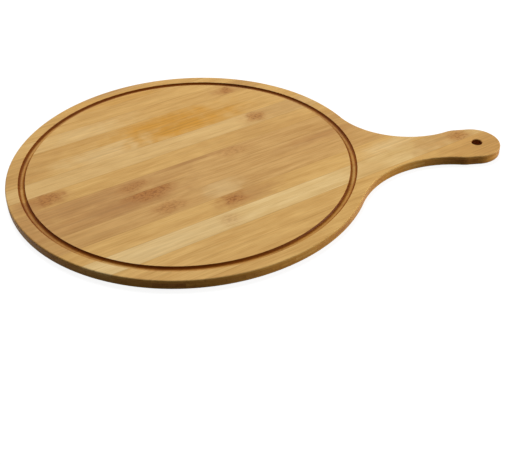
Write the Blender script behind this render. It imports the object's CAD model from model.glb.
# %% [markdown]
# # A laminated bamboo pizza board
# The board is a flat panel of bamboo strips, cut round with a paddle handle, grooved and oiled. Its
# solids come packed from the CAD source as 54 strips and slats, and their shapes are right as they are.
# What they lack is bamboo: fibres, tones that change from strip to strip, knuckles, a scorched groove
# and an oiled sheen. This lesson gives them those, and then sets up the camera and the light.

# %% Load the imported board
import math

import bpy
import numpy as np
from mathutils import Matrix, Vector

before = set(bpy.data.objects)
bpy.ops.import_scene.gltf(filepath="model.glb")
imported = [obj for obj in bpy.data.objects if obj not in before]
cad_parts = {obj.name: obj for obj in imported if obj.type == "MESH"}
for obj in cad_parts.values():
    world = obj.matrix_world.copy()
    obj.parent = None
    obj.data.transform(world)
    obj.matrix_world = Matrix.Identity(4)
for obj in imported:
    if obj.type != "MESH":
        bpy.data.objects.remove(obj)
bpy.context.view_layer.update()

# %% [markdown]
# ## Sizes the finishes follow
# A pattern has to land on the shape it belongs to: the scorch in the groove, the glue lines on the
# joints between strips. It could be nudged into place by eye, but then it would slip with the next
# change. So the sizes of the board are written down once, and every finish reads them from here.

# %% Sizes in millimetres
BOARD_T = 8.0                # thickness of the board
FACE_T = 2.6                 # thickness of each face ply
GRAIN = math.radians(25.9)   # from the handle's axis to the strips
STRIP_W = 20.0               # width of a strip or slat
SHIFT = {"top": 3.0, "core": 7.0, "bottom": 2.0}   # place of one joint line in each ply
DISC_R = 150.0               # radius of the round
GROOVE_R = 137.0             # radius of the groove's centre line
GROOVE_HALF = 2.9            # half the groove's width at the surface
GROOVE_DEPTH = 2.2
EDGE_R = 1.0                 # easing of the board's edges
HOLE_X, HOLE_R = 245.5, 4.5
print("groove from", GROOVE_R - GROOVE_HALF, "to", GROOVE_R + GROOVE_HALF, "mm from the centre")

# %% [markdown]
# ## Wiring helpers
# A procedural material is a small program drawn as nodes. Drawn by hand, it would fill screens. A few
# helpers keep it short: `add` makes a node and fills its sockets with values or links, and the others
# make one node each and hand back its result, so that a material reads like a sum.

# %% Colours and nodes
def srgb(code):
    """Linear colour of a web colour such as '#d8b67e': c becomes ((c + 0.055) / 1.055) ** 2.4."""
    c = np.array([int(code[i:i + 2], 16) for i in (1, 3, 5)]) / 255
    c = np.where(c <= 0.04045, c / 12.92, ((c + 0.055) / 1.055) ** 2.4)
    return (*c.tolist(), 1.0)


def add(tree, kind, sockets=None, **settings):
    """A new node with its settings made and its inputs set to values or linked to other sockets."""
    node = tree.nodes.new(kind)
    for name, value in settings.items():
        setattr(node, name, value)
    for key, value in (sockets or {}).items():
        if isinstance(value, bpy.types.NodeSocket):
            tree.links.new(value, node.inputs[key])
        else:
            node.inputs[key].default_value = value
    return node


print("honey in linear light:", [round(c, 3) for c in srgb("#cda165")])

# %% Arithmetic
def calc(tree, operation, *values):
    """The result of one Math node."""
    return add(tree, "ShaderNodeMath", dict(enumerate(values)), operation=operation).outputs[0]


def vector(tree, operation, *values):
    """The result of one Vector Math node that gives a vector."""
    return add(tree, "ShaderNodeVectorMath", dict(enumerate(values)), operation=operation).outputs[0]


def length(tree, value):
    """How long a vector is."""
    return add(tree, "ShaderNodeVectorMath", {0: value}, operation="LENGTH").outputs["Value"]


def scaled(tree, value, factor):
    """A vector or a colour times one factor."""
    return add(tree, "ShaderNodeVectorMath", {0: value, "Scale": factor}, operation="SCALE").outputs[0]


print("arithmetic:", ", ".join(f.__name__ for f in (calc, vector, length, scaled)))

# %% Steps, mixes and noise
MIX_FACTOR, MIX_UNDER, MIX_OVER, MIX_RESULT = 0, 6, 7, 2   # the colour sockets of a Mix node


def ramp(tree, value, low, high, to_low=0.0, to_high=1.0):
    """A smooth step: to_low up to the value low, to_high from the value high on."""
    sockets = {"Value": value, "From Min": low, "From Max": high, "To Min": to_low, "To Max": to_high}
    return add(tree, "ShaderNodeMapRange", sockets, interpolation_type="SMOOTHSTEP").outputs["Result"]


def fade(tree, value, low, high):
    """A smooth step down: 1 up to the value low, 0 from the value high on."""
    return ramp(tree, value, low, high, 1.0, 0.0)


def blend(tree, amount, under, over, mode="MIX"):
    """Two colours mixed by an amount from 0 to 1."""
    sockets = {MIX_FACTOR: amount, MIX_UNDER: under, MIX_OVER: over}
    return add(tree, "ShaderNodeMix", sockets, data_type="RGBA", blend_type=mode).outputs[MIX_RESULT]


def noise(tree, place, size, detail, rough):
    """Noise from 0 to 1 on a place that is first divided by a size in millimetres along each axis."""
    shrunk = vector(tree, "MULTIPLY", place, tuple(1 / s for s in size))
    sockets = {"Vector": shrunk, "Scale": 1.0, "Detail": detail, "Roughness": rough}
    return add(tree, "ShaderNodeTexNoise", sockets).outputs["Fac"]


print("steps, mixes and noise:", ", ".join(f.__name__ for f in (ramp, fade, blend, noise)))

# %% Trees
def empty_tree(owner):
    """The node tree of a material or a world, with nothing in it yet."""
    owner.use_nodes = True
    owner.node_tree.nodes.clear()
    return owner.node_tree


def new_group(name, inputs, outputs):
    """A node group and its inputs, from the names and types of the sockets on either side of it."""
    tree = bpy.data.node_groups.new(name, "ShaderNodeTree")
    for in_out, sockets in (("INPUT", inputs), ("OUTPUT", outputs)):
        for title, kind in sockets.items():
            tree.interface.new_socket(title, in_out=in_out, socket_type="NodeSocket" + kind)
    return tree, add(tree, "NodeGroupInput").outputs


print("trees:", ", ".join(f.__name__ for f in (empty_tree, new_group)))

# %% [markdown]
# ## Bamboo as a solid
# Bamboo has no rings. It is a pale ground with thousands of dark fibre bundles that all run along the
# culm. A picture of it could be wrapped round the board, but it would stretch on the rim and show seams.
# If bamboo is drawn as a solid instead, with noise stretched far along the fibres and kept fine across
# them, every cut through it comes out right by itself: long hair lines on the flat faces, dots on the
# sawn ends, and slanted dashes on the curved rim. A seed moves a strip to a place of its own in that
# endless solid, so that no two strips are alike.

# %% Layers of the fibre
LAYERS = {   # size along the fibres, across them and through the ply in mm, then detail and roughness
    "drift": ((90, 9, 6), 2.0, 0.5),
    "streaks": ((42, 2.2, 1.8), 3.0, 0.6),
    "mottle": ((20, 5, 4), 2.0, 0.6),
    "hairs": ((24, 0.42, 0.42), 1.0, 0.5),
    "bundles": ((40, 0.75, 0.7), 1.5, 0.55),
}
DEEPENING = {   # between which values of its noise a layer deepens the ground, and how much at each
    "drift": (0.3, 0.7, 0.0, 0.5),
    "streaks": (0.32, 0.68, -0.03, 0.22),
    "mottle": (0.32, 0.68, -0.05, 0.3),
}
HAIR_SHADE = (0.3, 0.7, 0.94, 1.05)      # the same, for the shade of the hair lines
BUNDLE_EDGE = (0.53, 0.70)               # from which value of its noise a bundle shows, and shows fully
BUNDLE_SHARE = 0.28                      # how much of its dark colour it then has
BUNDLE_TINT = (0.66, 0.56, 0.44, 1.0)
SEED_STEP = (317.0, 41.0, 23.0)          # how far one unit of seed moves a strip in the solid, in mm
print("layers:", ", ".join(LAYERS))

# %% The fibre group
fibre, given = new_group(
    "bamboo fibre",
    {"Grain": "Vector", "Seed": "Float", "Pale": "Color", "Deep": "Color"},
    {"Colour": "Color", "Bundles": "Float", "Streaks": "Float"},
)
own = vector(fibre, "ADD", given["Grain"], scaled(fibre, SEED_STEP, given["Seed"]))
layer = {name: noise(fibre, own, *settings) for name, settings in LAYERS.items()}
deepening = 0.0
for name, limits in DEEPENING.items():
    deepening = calc(fibre, "ADD", deepening, ramp(fibre, layer[name], *limits))
ground = blend(fibre, calc(fibre, "MAXIMUM", deepening, 0.0), given["Pale"], given["Deep"])
ground = scaled(fibre, ground, ramp(fibre, layer["hairs"], *HAIR_SHADE))
bundles = ramp(fibre, layer["bundles"], *BUNDLE_EDGE)
dark_bundle = blend(fibre, 1.0, given["Deep"], BUNDLE_TINT, "MULTIPLY")
ground = blend(fibre, calc(fibre, "MULTIPLY", bundles, BUNDLE_SHARE), ground, dark_bundle)
add(fibre, "NodeGroupOutput", {"Colour": ground, "Bundles": bundles, "Streaks": layer["streaks"]})
print("fibre group:", len(fibre.nodes), "nodes")

# %% [markdown]
# ## Knuckles and stains
# Each culm has knuckles, where its branches and inner walls were. Planed flat, a knuckle is a brownish
# blush with flecks in it. Heat and sap leave longer stains with no flecks. They could be painted by
# hand, but a painting is hard to change. Both are soft ovals round a chosen place on the strip, with an
# edge that noise has pushed about, so one group with a place and a size serves for the two.

# %% The mark group
NOISE_MIDDLE = (0.5, 0.5, 0.5)
FLAT = (1.0, 1.0, 0.0)                   # times this, a place loses its height
WOBBLE = {"Scale": 0.09, "Detail": 2.0}  # waves per millimetre, and how much finer they get
WOBBLE_PUSH = (1.5, 1.1, 0.0)            # how far they move the edge, in half lengths and half widths
FLECK_LAYER = ((3.4, 1.6, 1.6), 3.0, 0.65)
FLECK_EDGE = (0.47, 0.60)                # from which value of its noise a fleck shows, and shows fully
FLECK_FADE, BLUSH_FADE = (0.3, 1.2), (0.1, 1.5)   # from the middle outwards, 1 being the mark's reach

mark, given = new_group(
    "strip mark",
    {"Grain": "Vector", "Centre": "Vector", "Reach": "Vector"},
    {"Blush": "Float", "Flecks": "Float"},
)
wobble = add(mark, "ShaderNodeTexNoise", {"Vector": given["Grain"], **WOBBLE}).outputs["Color"]
push = vector(mark, "MULTIPLY", vector(mark, "SUBTRACT", wobble, NOISE_MIDDLE), WOBBLE_PUSH)
oval = vector(mark, "DIVIDE", vector(mark, "SUBTRACT", given["Grain"], given["Centre"]), given["Reach"])
far = length(mark, vector(mark, "MULTIPLY", vector(mark, "ADD", oval, push), FLAT))
flecks = ramp(mark, noise(mark, given["Grain"], *FLECK_LAYER), *FLECK_EDGE)
flecks = calc(mark, "MULTIPLY", flecks, fade(mark, far, *FLECK_FADE))
add(mark, "NodeGroupOutput", {"Blush": fade(mark, far, *BLUSH_FADE), "Flecks": flecks})
print("mark group:", len(mark.nodes), "nodes")

# %% [markdown]
# ## Where tools have been
# The router scorches the groove, most of all on its walls, and sawn ends soak up oil, so the groove, the
# hole and the sides of the board are darker than its faces. Faces of their own could have materials of
# their own, but scorch fades within a face. So a group works out from the Object coordinates how far a
# place is from the groove's line, from the hole and from the two faces, and turns that into an amount
# for each tool. The same group finds the glue lines between the plies.

# %% Distances to the cuts
cuts, given = new_group(
    "tool marks",
    {"Place": "Vector"},
    {"Groove": "Float", "Side": "Float", "Bore": "Float", "Plies": "Float"},
)
height = add(cuts, "ShaderNodeSeparateXYZ", {0: given["Place"]}).outputs["Z"]
depth = calc(cuts, "SUBTRACT", BOARD_T, height)
level = vector(cuts, "MULTIPLY", given["Place"], FLAT)
from_line = calc(cuts, "ABSOLUTE", calc(cuts, "SUBTRACT", length(cuts, level), GROOVE_R))
from_hole = length(cuts, vector(cuts, "SUBTRACT", level, (HOLE_X, 0.0, 0.0)))
to_plies = [calc(cuts, "ABSOLUTE", calc(cuts, "SUBTRACT", inward, FACE_T)) for inward in (height, depth)]
print("distances:", len(cuts.nodes), "nodes")

# %% The tool marks group
RING_EDGE = (0.3, 0.8)       # how far outside the groove its scorch begins to fade and is gone, in mm
LIP = (0.02, 0.3)            # how far under the face it sets in
UNDER_FLOOR = (0.2, 0.6)     # how far under the groove's floor it ends
WALL = (0.3, 2.2)            # how far from its line the floor turns into wall
FLOOR_BURN = 0.22            # the floor's scorch, where the walls' is 1
SIDE_EASING = (0.4, 1.05)    # where the dark of the sides sets in, in shares of the edges' easing
BORE_EDGE = (0.1, 0.7)       # how far round the hole its dark fades
BORE_LIP = (0.1, 1.2)        # how far under the face it sets in
PLY_LINE = (0.04, 0.2)       # how far from the joint between two plies the glue fades

in_ring = fade(cuts, from_line, *(GROOVE_HALF + edge for edge in RING_EDGE))
above_floor = fade(cuts, depth, *(GROOVE_DEPTH + edge for edge in UNDER_FLOOR))
groove = ramp(cuts, from_line, *WALL, FLOOR_BURN, 1.0)
for limit in (in_ring, ramp(cuts, depth, *LIP), above_floor):
    groove = calc(cuts, "MULTIPLY", groove, limit)
side = calc(cuts, "SUBTRACT", 1.0, in_ring)
for inward in (height, depth):
    side = calc(cuts, "MULTIPLY", side, ramp(cuts, inward, *(EDGE_R * share for share in SIDE_EASING)))
bore = fade(cuts, from_hole, *(HOLE_R + edge for edge in BORE_EDGE))
bore = calc(cuts, "MULTIPLY", bore, ramp(cuts, depth, *BORE_LIP))
plies = fade(cuts, calc(cuts, "MINIMUM", *to_plies), *PLY_LINE)
add(cuts, "NodeGroupOutput", {"Groove": groove, "Side": side, "Bore": bore, "Plies": plies})
print("tool marks group:", len(cuts.nodes), "nodes")

# %% [markdown]
# ## Tones of the strips
# No two culms are alike, and a board shows it: straw next to honey next to tan. A tone is a pale and a
# deep colour, and the fibre group wanders between the two. Tones could be drawn at random, but here the
# order is part of the likeness, so each strip of the top face has a tone from a small palette, picked by
# eye. The core and the underside aren't in view in the photograph, so theirs are simply dealt out.

# %% Palette
PALETTE = {
    "straw": ("#e5c487", "#d1aa68"),
    "wheat": ("#dfb877", "#cba160"),
    "honey": ("#daae66", "#c4944e"),
    "tan": ("#d3a664", "#ba8a4a"),
    "rose": ("#c39259", "#a7743b"),
}
TOP_TONES = ["honey", "honey", "honey", "straw", "honey", "tan", "tan", "tan",
             "honey", "wheat", "honey", "honey", "honey", "honey", "honey", "tan"]
BOTTOM_TONES = ["honey", "tan", "honey", "wheat", "honey", "tan", "wheat", "honey",
                "honey", "straw", "tan", "honey", "wheat", "honey", "tan", "honey"]
CORE_TONES = ["tan", "honey", "wheat", "tan", "rose", "honey", "tan"]
print("top strips:", len(TOP_TONES), " bottom strips:", len(BOTTOM_TONES))

# %% [markdown]
# ## Marks on the top face
# Knuckles and stains are what makes this one board, so they are placed by hand. Each line gives the
# distance along the strips and across them from the centre of the round, half the mark's length and
# width, and its strength. A stain also names its colour.

# %% Knuckles and stains
KNUCKLES = [
    (87, 90, 9, 8, 0.85), (87, 35, 10, 9, 0.75), (-120, 15, 14, 9, 0.8), (-54, -7, 14, 8, 0.6),
    (-48, -21, 20, 10, 1.0), (-43, -46, 16, 9, 0.6), (6, -64, 13, 9, 0.95), (-10, -87, 9, 8, 0.25),
    (214, -91, 13, 9, 0.6), (40, -4, 16, 7, 0.4),
]
STAINS = [
    (222, -122, 26, 14, 0.9, "tan"), (215, -107, 45, 18, 0.6, "tan"), (232, -110, 22, 14, 0.6, "tan"),
    (205, -87, 45, 20, 0.75, "tan"), (120, -90, 26, 14, 0.6, "honey"), (-60, -87, 60, 20, 0.5, "pale"),
    (155, -70, 32, 9, 0.8, "pale"), (20, -66, 26, 13, 0.65, "brown"), (-115, -47, 50, 18, 0.45, "tan"),
    (5, -47, 18, 14, 0.5, "pale"), (-95, -27, 80, 18, 0.7, "brown"), (-68, -25, 30, 9, 0.6, "dark"),
    (118, -25, 42, 7, 0.75, "brown"), (-95, -7, 75, 18, 0.75, "brown"), (5, 1, 40, 2.5, 0.6, "dark"),
    (-132, 13, 26, 16, 0.8, "brown"), (115, 33, 40, 16, 0.6, "tan"), (-130, 53, 30, 16, 0.6, "tan"),
    (-50, 53, 45, 16, 0.6, "pale"), (27, 56, 52, 16, 0.95, "golden"), (-118, 73, 35, 16, 0.5, "tan"),
    (15, 70, 52, 15, 0.9, "golden"), (-60, 93, 50, 16, 0.5, "pale"), (100, 93, 30, 16, 0.7, "tan"),
    (85, 13, 75, 16, 0.4, "tan"), (-5, 133, 50, 18, 0.35, "golden"),
]
print("knuckles:", len(KNUCKLES), " stains:", len(STAINS))

# %% Laying the marks
KNUCKLE, KNUCKLE_SHARE = "#ab6d2c", 0.9      # the blush's colour, and how much of it a full knuckle has
FLECK, FLECK_SHARE = "#814a14", 0.8
STAIN_TONES = {
    "pale": "#dcbb82", "honey": "#cda260", "golden": "#c68a24",
    "tan": "#bb8b4c", "brown": "#b07e45", "dark": "#a06d37",
}
STAIN_STREAKS = (0.3, 0.7, 1.12, 0.86)       # between which values of the streaks, and the shade at each


def lay_mark(tree, grain, place, reach):
    """The mark group, set to a place along and across the strips and to half a length and a width."""
    sockets = {"Grain": grain, "Centre": (*place, 0.0), "Reach": (*reach, 1.0)}
    return add(tree, "ShaderNodeGroup", sockets, node_tree=mark).outputs


def with_marks(tree, grain, wood, knuckles, stains):
    """The bamboo's colour with stains over it, streaked as the fibres are, and knuckles over those."""
    colour = wood["Colour"]
    for along, across, half_l, half_w, strength, tint in stains:
        spot = lay_mark(tree, grain, (along, across), (half_l, half_w))
        shade = ramp(tree, wood["Streaks"], *STAIN_STREAKS)
        streaky = scaled(tree, srgb(STAIN_TONES[tint])[:3], shade)
        colour = blend(tree, calc(tree, "MULTIPLY", spot["Blush"], strength), colour, streaky)
    for along, across, half_l, half_w, strength in knuckles:
        spot = lay_mark(tree, grain, (along, across), (half_l, half_w))
        for part, share, tint in (("Blush", KNUCKLE_SHARE, KNUCKLE), ("Flecks", FLECK_SHARE, FLECK)):
            colour = blend(tree, calc(tree, "MULTIPLY", spot[part], share * strength), colour, srgb(tint))
    return colour


print("stain colours:", ", ".join(STAIN_TONES))

# %% [markdown]
# ## Glue lines and scorched places
# Glue shows as a hair of brown on every joint, between neighbouring strips and between plies. Narrow
# gaps could be cut for it, but a joint has no depth, so colour alone is right. A strip knows how far it
# is from a joint because joints repeat at every strip's width, so a triangle wave of that width gives
# the distance. Over it all come the places that the tools have darkened. Each multiplies the colour by
# a tint, raised to the power of how much the tool touched there: that goes from no change to the full
# tint with warm browns between them, and the fibres still show through.

# %% Glue and scorch
GLUE = "#7d5428"
JOINT_LINE = (0.05, 0.35)    # how far from the joint between two strips the glue fades, in mm
JOINT_SHARE = 0.3            # how brown the joints between strips are
PLY_SHARE = 0.5              # and those between plies
TOOL_TINTS = {
    "Side": (0.88, 0.70, 0.42, 1.0),
    "Groove": (0.34, 0.145, 0.022, 1.0),
    "Bore": (0.57, 0.30, 0.12, 1.0),
}


def with_joints(tree, grain, ply, tools, colour):
    """Brown hair lines on the joints: distance = width * pingpong((across - shift) / width, 1/2)."""
    across = add(tree, "ShaderNodeSeparateXYZ", {0: grain}).outputs["Y"]
    lane = calc(tree, "DIVIDE", calc(tree, "SUBTRACT", across, SHIFT[ply]), STRIP_W)
    to_joint = calc(tree, "MULTIPLY", calc(tree, "PINGPONG", lane, 0.5), STRIP_W)
    between_strips = ramp(tree, to_joint, *JOINT_LINE, JOINT_SHARE, 0.0)
    between_plies = calc(tree, "MULTIPLY", tools["Plies"], PLY_SHARE)
    return blend(tree, calc(tree, "MAXIMUM", between_strips, between_plies), colour, srgb(GLUE))


def with_scorch(tree, tools, colour):
    """The colour times tint ** amount for each tool: a Gamma node raises each channel to a power."""
    for place, tint in TOOL_TINTS.items():
        burn = add(tree, "ShaderNodeGamma", {"Color": tint, "Gamma": tools[place]}).outputs[0]
        colour = blend(tree, 1.0, colour, burn, "MULTIPLY")
    return colour


print("scorched places:", ", ".join(TOOL_TINTS))

# %% [markdown]
# ## One material for each strip
# A strip's material turns the Object coordinates so that one axis runs along its fibres, asks the fibre
# group for its bamboo, lays its marks over that, and darkens what the tools have touched. One material
# could serve for all strips if it looked up a strip's number, but a material for each can be read and
# changed alone. The oil leaves a satin skin: the roughness is lower between the bundles than on them,
# and a faint bump makes the bundles catch the light.

# %% The oiled skin
ROUGH, ROUGH_BUNDLES = 0.48, 0.10            # roughness between the bundles, and what they add to it
BUNDLE_RELIEF = -0.6                         # bundles lie lower than the ground between them
BUMP = {"Strength": 0.12, "Distance": 0.0002}
OIL = {"IOR": 1.46, "Specular IOR Level": 0.15, "Specular Tint": (1.0, 0.78, 0.50, 1.0)}


def oiled(tree, colour, wood):
    """Satin skin: roughness = base + gain * bundles, and height = relief * bundles + streaks."""
    rough = calc(tree, "ADD", ROUGH, calc(tree, "MULTIPLY", wood["Bundles"], ROUGH_BUNDLES))
    relief = calc(tree, "ADD", calc(tree, "MULTIPLY", wood["Bundles"], BUNDLE_RELIEF), wood["Streaks"])
    bump = add(tree, "ShaderNodeBump", {"Height": relief, **BUMP}).outputs[0]
    sockets = {"Base Color": colour, "Roughness": rough, "Normal": bump, **OIL}
    return add(tree, "ShaderNodeBsdfPrincipled", sockets).outputs[0]


print("roughness:", ROUGH, "to", round(ROUGH + ROUGH_BUNDLES, 2))

# %% The strip material
PER_METRE = 1000.0   # millimetres


def strip_material(name, ply, turn, tone, seed, knuckles=(), stains=()):
    """Oiled bamboo for one strip: fibres at the angle turn, a palette tone, its knuckles and stains."""
    material = bpy.data.materials.new(name)
    tree = empty_tree(material)
    to_mm = {"Vector": add(tree, "ShaderNodeTexCoord").outputs["Object"], "Scale": (PER_METRE,) * 3}
    place = add(tree, "ShaderNodeMapping", to_mm).outputs[0]
    grain = add(tree, "ShaderNodeMapping", {**to_mm, "Rotation": (0.0, 0.0, -turn)}).outputs[0]
    tools = add(tree, "ShaderNodeGroup", {"Place": place}, node_tree=cuts).outputs
    pale, deep = (srgb(code) for code in PALETTE[tone])
    culm = {"Grain": grain, "Seed": seed, "Pale": pale, "Deep": deep}
    wood = add(tree, "ShaderNodeGroup", culm, node_tree=fibre).outputs
    colour = with_marks(tree, grain, wood, knuckles, stains)
    colour = with_joints(tree, grain, ply, tools, colour)
    colour = with_scorch(tree, tools, colour)
    add(tree, "ShaderNodeOutputMaterial", {"Surface": oiled(tree, colour, wood)})
    return material


def dress(name, material):
    """Puts one material in the slots of a CAD node, in place of the plain one that came with it."""
    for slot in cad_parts[name].material_slots:
        slot.material = material


print("materials so far:", len(bpy.data.materials))

# %% [markdown]
# ## Dressing the plies
# A knuckle or a stain belongs to the strip whose lane it lies in, so each one is handed to that strip
# alone, and a strip's edge cuts it off cleanly, as on the real board. The offcuts on the grip are the
# same culm as their strip. On the underside, a seeded draw places one knuckle on two strips out of
# three, so that it comes out the same each time.

# %% Lanes
SEEDS = {"top": (1.0, 0.37), "core": (20.0, 0.41), "bottom": (40.0, 0.41)}   # a start and a step
ACROSS = 1           # where a mark's line holds its distance across the strips


def first_lane(ply):
    """Whole widths from the joint line that is known to the edge of the ply's first strip."""
    return math.floor((-DISC_R - SHIFT[ply]) / STRIP_W)


def lane_of(across, ply):
    """Number of the strip, from 1, whose lane holds this distance across the fibres."""
    return math.floor((across - SHIFT[ply]) / STRIP_W) - first_lane(ply) + 1


def lane_middle(lane, ply):
    """Distance across the fibres to the middle of a strip, given its number from 1."""
    return SHIFT[ply] + (first_lane(ply) + lane - 0.5) * STRIP_W


def strips_of(ply):
    """Each node of a ply with its lane's number and a seed of its own: start + step * lane."""
    start, step = SEEDS[ply]
    lanes = {name: int(name[-2:]) for name in sorted(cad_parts) if name.startswith(ply + "_")}
    return [(name, lane, start + step * lane) for name, lane in lanes.items()]


print("nodes in each ply:", {ply: len(strips_of(ply)) for ply in SEEDS})

# %% Top strips
for name, lane, seed in strips_of("top"):
    knuckles = [k for k in KNUCKLES if lane_of(k[ACROSS], "top") == lane]
    stains = [s for s in STAINS if lane_of(s[ACROSS], "top") == lane]
    tone = TOP_TONES[lane - 1]
    dress(name, strip_material(name, "top", GRAIN, tone, seed, knuckles, stains))
    print(name, tone, "knuckles", len(knuckles), "stains", len(stains))

# %% Core slats
for name, lane, seed in strips_of("core"):
    tone = CORE_TONES[lane % len(CORE_TONES)]
    dress(name, strip_material(name, "core", GRAIN + math.pi / 2, tone, seed))
print("core slats dressed:", lane)

# %% Bottom strips
DRAW_SEED = 26
UNDER_REACH = 120                # how far along the strips a knuckle may lie from the middle
UNDER_SIZE = (13, 8)             # half its length and half its width
UNDER_STRENGTH = (0.4, 0.8)
draw = np.random.default_rng(DRAW_SEED)
for name, lane, seed in strips_of("bottom"):
    knuckles = []
    if lane % 3 != 1:
        along = float(draw.uniform(-UNDER_REACH, UNDER_REACH))
        strength = float(draw.uniform(*UNDER_STRENGTH))
        knuckles = [(along, lane_middle(lane, "bottom"), *UNDER_SIZE, strength)]
    tone = BOTTOM_TONES[lane - 1]
    dress(name, strip_material(name, "bottom", GRAIN, tone, seed, knuckles))
    print(name, tone, "knuckles", len(knuckles))

# %% [markdown]
# ## Camera
# A camera can be set up by eye, but a flat round board gives its place away: the rim, the groove and the
# handle, fitted with a pinhole camera, fix where it stood, and the picture's width gives the lens. The
# three unit vectors are the camera's own right, up and forward directions. Blender's cameras look along
# their own -Z, so forward goes in with its sign turned.

# %% Camera at the photograph's viewing angle
CAMERA_PLACE = (-0.0002, -0.6138, 0.4077)
RIGHT, UP, FORWARD = (Vector(v) for v in (
    (0.99472, -0.10076, -0.01919), (0.07691, 0.60890, 0.78951), (0.06787, 0.78682, -0.61344),
))
SENSOR_MM, LENS_MM = 36.0, 62.08
NEAREST, FURTHEST = 0.01, 50.0   # what the camera can see, in metres
turned = Matrix((RIGHT, UP, -FORWARD)).transposed().to_4x4()
camera = bpy.data.objects.new("camera", bpy.data.cameras.new("camera"))
bpy.context.collection.objects.link(camera)
camera.matrix_world = Matrix.Translation(CAMERA_PLACE) @ turned
camera.data.sensor_width, camera.data.lens = SENSOR_MM, LENS_MM
camera.data.clip_start, camera.data.clip_end = NEAREST, FURTHEST
bpy.context.scene.camera = camera
print("camera lens:", round(camera.data.lens, 2), "mm")

# %% [markdown]
# ## Light
# The board was lit by a large soft light behind and above it: its face is bright, and everything that
# faces the camera, the near side and the near walls of the groove, falls into shade. The sides that face
# right are lighter, so there was a second, weaker light low on that side. An even sky alone would lose
# that shade, so two square area lamps make it, with a weak even world to fill in.

# %% Lamps
def area_lamp(name, place, target, size, watts):
    """A square soft light that looks at a target, and that the camera doesn't see."""
    data = bpy.data.lights.new(name, "AREA")
    data.shape, data.size, data.energy = "SQUARE", size, watts
    lamp = bpy.data.objects.new(name, data)
    lamp.location = place
    lamp.rotation_euler = (Vector(target) - Vector(place)).to_track_quat("-Z", "Y").to_euler()
    lamp.visible_camera = False
    bpy.context.collection.objects.link(lamp)


area_lamp("back softbox", place=(-0.1, 1.75, 2.7), target=(0.05, 0.0, 0.0), size=1.3, watts=90.0)
area_lamp("low side light", place=(1.3, -0.1, 0.18), target=(0.0, 0.0, 0.0), size=0.5, watts=14.0)

# %% [markdown]
# ## White surroundings
# The background has to be white. Brighter lamps would do it, but they would bleach the board as well.
# Blender's Light Path node tells what a ray is for, so the world can be white to the rays that show it,
# straight, in a mirror or through glass, and dim to the light that bounces about.

# %% World
WHITE = (1.0, 1.0, 1.0, 1.0)
BACKDROP = 0.93          # how bright the world shows, to match the far end of the floor
FILL = 0.10              # strength of the world as a light


def shown(tree):
    """1 for rays that show a surface, 0 for light that bounces: the largest of three outputs."""
    ray = add(tree, "ShaderNodeLightPath").outputs
    straight_or_through = calc(tree, "MAXIMUM", ray["Is Camera Ray"], ray["Is Transmission Ray"])
    return calc(tree, "MAXIMUM", straight_or_through, ray["Is Glossy Ray"])


world = bpy.data.worlds.new("studio")
bpy.context.scene.world = world
tree = empty_tree(world)
strength = calc(tree, "ADD", FILL, calc(tree, "MULTIPLY", shown(tree), BACKDROP - FILL))
sky = add(tree, "ShaderNodeBackground", {"Color": WHITE, "Strength": strength}).outputs[0]
add(tree, "ShaderNodeOutputWorld", {"Surface": sky})
bpy.context.scene.view_settings.view_transform = "Standard"
print("world:", FILL, "as a light,", BACKDROP, "as a backdrop")

# %% [markdown]
# ## Floor
# The floor is one large square just under the board. It is matt grey to the light that bounces about,
# and has a white glow of its own to the rays that show it. It keeps the board's shadow, because the glow
# is only a part of what it shows.

# %% White paper floor
FLOOR_GREY = (0.20, 0.20, 0.20, 1.0)
FLOOR_GLOW = 0.90
FLOOR_HALF = 4.0         # half the floor's side, in metres
FLOOR_DROP = 0.0001      # how far it lies under the board, so that the two never flicker
CORNERS = ((-1, -1), (1, -1), (1, 1), (-1, 1))

floor_mesh = bpy.data.meshes.new("floor")
corners = [(x * FLOOR_HALF, y * FLOOR_HALF, -FLOOR_DROP) for x, y in CORNERS]
floor_mesh.from_pydata(corners, [], [(0, 1, 2, 3)])
floor = bpy.data.objects.new("floor", floor_mesh)
bpy.context.collection.objects.link(floor)
paper = bpy.data.materials.new("white paper")
tree = empty_tree(paper)
matt = add(tree, "ShaderNodeBsdfDiffuse", {"Color": FLOOR_GREY}).outputs[0]
glow = add(tree, "ShaderNodeEmission", {"Color": WHITE, "Strength": FLOOR_GLOW}).outputs[0]
glowing = add(tree, "ShaderNodeAddShader", {0: matt, 1: glow}).outputs[0]
mixed = add(tree, "ShaderNodeMixShader", {0: shown(tree), 1: matt, 2: glowing}).outputs[0]
add(tree, "ShaderNodeOutputMaterial", {"Surface": mixed})
floor_mesh.materials.append(paper)
print("floor:", 2 * FLOOR_HALF, "m square")
